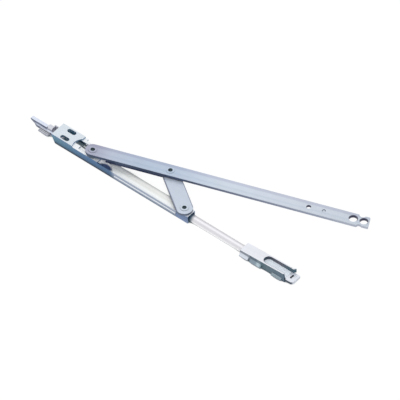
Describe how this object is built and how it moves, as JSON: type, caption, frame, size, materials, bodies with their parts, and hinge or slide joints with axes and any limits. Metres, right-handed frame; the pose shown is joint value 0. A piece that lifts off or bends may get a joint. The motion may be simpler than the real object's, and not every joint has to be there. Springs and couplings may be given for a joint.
{
  "type": "scissor window stay",
  "caption": "Scissor window stay: a long holed arm on a sliding foot, a short link on a fixed pivot, a sheet base with fixing slots, and a round drive rod with a slotted connector.",
  "frame": {"origin": "centre of the two fixing slots, on the mounting plane", "axes": "+X along the base towards the drive rod's connector, +Y to the side the arm opens to, +Z away from the mounting plane"},
  "size_m": [0.3625, 0.113, 0.017],
  "materials": {
    "base_zinc": "bright zinc plate",
    "arm_zinc": "blue zinc plate",
    "rivet_steel": "zinc plate",
    "strip_steel": "zinc plate",
    "rod_steel": "bright drawn",
    "liner": "satin"
  },
  "bodies": {
    "base": {"base_channel": "base_zinc", "fixing_plate": "base_zinc", "pivot_block": "base_zinc", "fixed_pivot": "rivet_steel", "pivot_washer": "rivet_steel", "end_holder": "base_zinc", "end_collar": "base_zinc", "end_pin": "base_zinc", "ribbed_clip": "liner"},
    "link": {"link_bar": "arm_zinc"},
    "arm": {"arm_bar": "arm_zinc", "arm_strip": "strip_steel", "link_pivot": "rivet_steel", "link_washer": "rivet_steel", "stop_rivet": "rivet_steel"},
    "drive": {"foot_pivot": "rivet_steel", "foot_collar": "rivet_steel", "guide_shoe": "base_zinc", "drive_bar": "base_zinc", "drive_rod": "rod_steel", "connector_channel": "base_zinc", "slot_floor": "liner", "connector_hook": "base_zinc", "end_tab": "base_zinc", "socket_pin": "rivet_steel"}
  },
  "joints": [
    {"name": "link_swing", "type": "hinge", "parent": "base", "child": "link", "pos_m": [0.15436, -0.0036, 0.0102], "axis": [0, 0, 1], "range_deg": [0, 34.03]},
    {"name": "arm_swing", "type": "hinge", "parent": "link", "child": "arm", "pos_m": [0.11334, 0.02411, 0.0127], "axis": [0, 0, 1], "range_deg": [-53.56, 0]},
    {"name": "foot_turn", "type": "hinge", "parent": "arm", "child": "drive", "pos_m": [0.0351, -0.0036, 0.0136], "axis": [0, 0, 1], "range_deg": [0, 19.51]}
  ],
  "couplings": [
    {"joint": "arm_swing", "follows": "link_swing", "ratio": -1.5729},
    {"joint": "foot_turn", "follows": "link_swing", "ratio": 0.57292}
  ]
}
